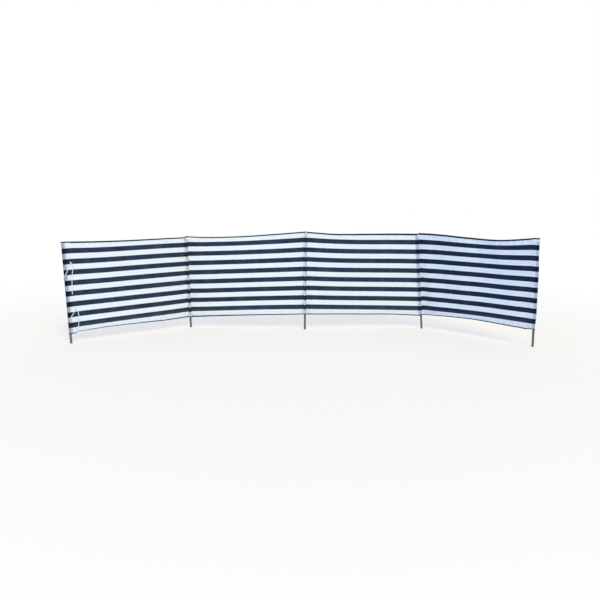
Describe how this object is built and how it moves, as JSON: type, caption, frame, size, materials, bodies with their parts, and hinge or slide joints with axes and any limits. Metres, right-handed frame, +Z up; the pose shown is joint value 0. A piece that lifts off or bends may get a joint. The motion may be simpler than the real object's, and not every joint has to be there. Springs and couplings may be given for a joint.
{
  "type": "beach windbreak",
  "caption": "Low beach windbreak: a horizontally striped cloth in tunnels on planted wooden poles, standing in angled bays, with bound edges and tie tapes at one end.",
  "frame": {"origin": "centre of the middle pole's foot, at ground level", "axes": "+X along the windbreak to the viewer's right, +Y away from the viewer, +Z up along the middle pole"},
  "size_m": [4.1093, 0.8433, 0.9586],
  "materials": {
    "pole_wood": "matte",
    "striped_cloth": "matte",
    "navy_binding": "matte",
    "tie_tape": "matte"
  },
  "bodies": {
    "root": {"pole_1": "pole_wood", "pole_2": "pole_wood", "pole_3": "pole_wood", "pole_4": "pole_wood", "pole_5": "pole_wood", "tunnel_1": "striped_cloth", "tunnel_2": "striped_cloth", "tunnel_3": "striped_cloth", "tunnel_4": "striped_cloth", "tunnel_5": "striped_cloth", "tunnel_cap_1": "navy_binding", "tunnel_cap_2": "navy_binding", "tunnel_cap_3": "navy_binding", "tunnel_cap_4": "navy_binding", "tunnel_cap_5": "navy_binding", "tunnel_hem_1": "navy_binding", "tunnel_hem_2": "navy_binding", "tunnel_hem_3": "navy_binding", "tunnel_hem_4": "navy_binding", "tunnel_hem_5": "navy_binding", "panel_1": "striped_cloth", "panel_2": "striped_cloth", "panel_3": "striped_cloth", "panel_4": "striped_cloth", "top_binding_1": "navy_binding", "top_binding_2": "navy_binding", "top_binding_3": "navy_binding", "top_binding_4": "navy_binding", "bottom_binding_1": "navy_binding", "bottom_binding_2": "navy_binding", "bottom_binding_3": "navy_binding", "bottom_binding_4": "navy_binding", "upper_tie_front": "tie_tape", "upper_tie_back": "tie_tape", "lower_tie_front": "tie_tape", "lower_tie_back": "tie_tape"}
  },
  "joints": []
}
